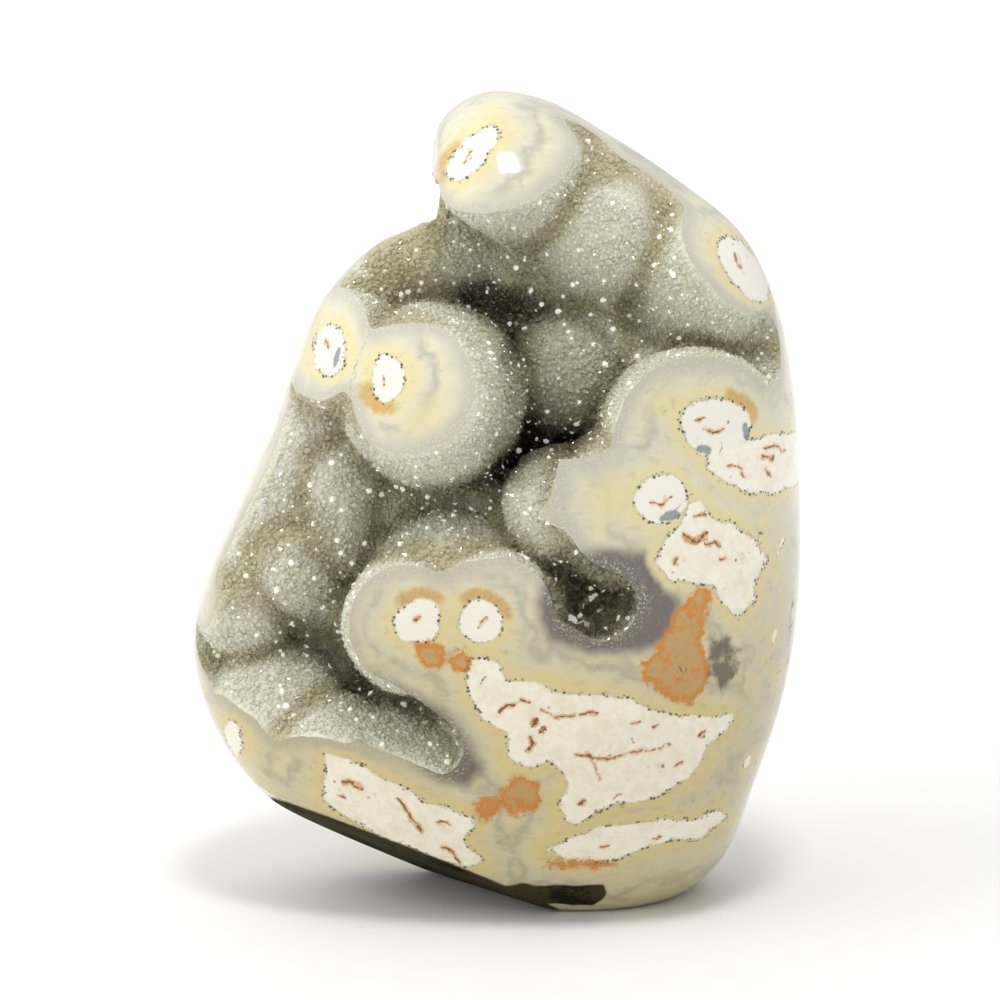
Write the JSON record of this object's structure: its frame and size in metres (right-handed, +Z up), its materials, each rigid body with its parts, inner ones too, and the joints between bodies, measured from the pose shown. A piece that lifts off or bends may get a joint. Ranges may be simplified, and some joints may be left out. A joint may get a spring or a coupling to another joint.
{
  "type": "agate and quartz freeform",
  "caption": "Pebble-like polished agate stone, its front open to a hollow of rounded lobes crusted with fine quartz crystals; stands on a small flat foot.",
  "frame": {"origin": "the middle of the flat foot that the stone stands on", "axes": "+Z up, the stone's open face looks along -Y, +X to its right as seen from the front"},
  "size_m": [0.0873, 0.057, 0.1153],
  "materials": {
    "polished_agate": "high polish, opaque to slightly translucent",
    "drusy_quartz": "sugary crust of fine crystals"
  },
  "bodies": {
    "root": {"agate_body": "polished_agate", "quartz_crust": "drusy_quartz"}
  },
  "joints": []
}
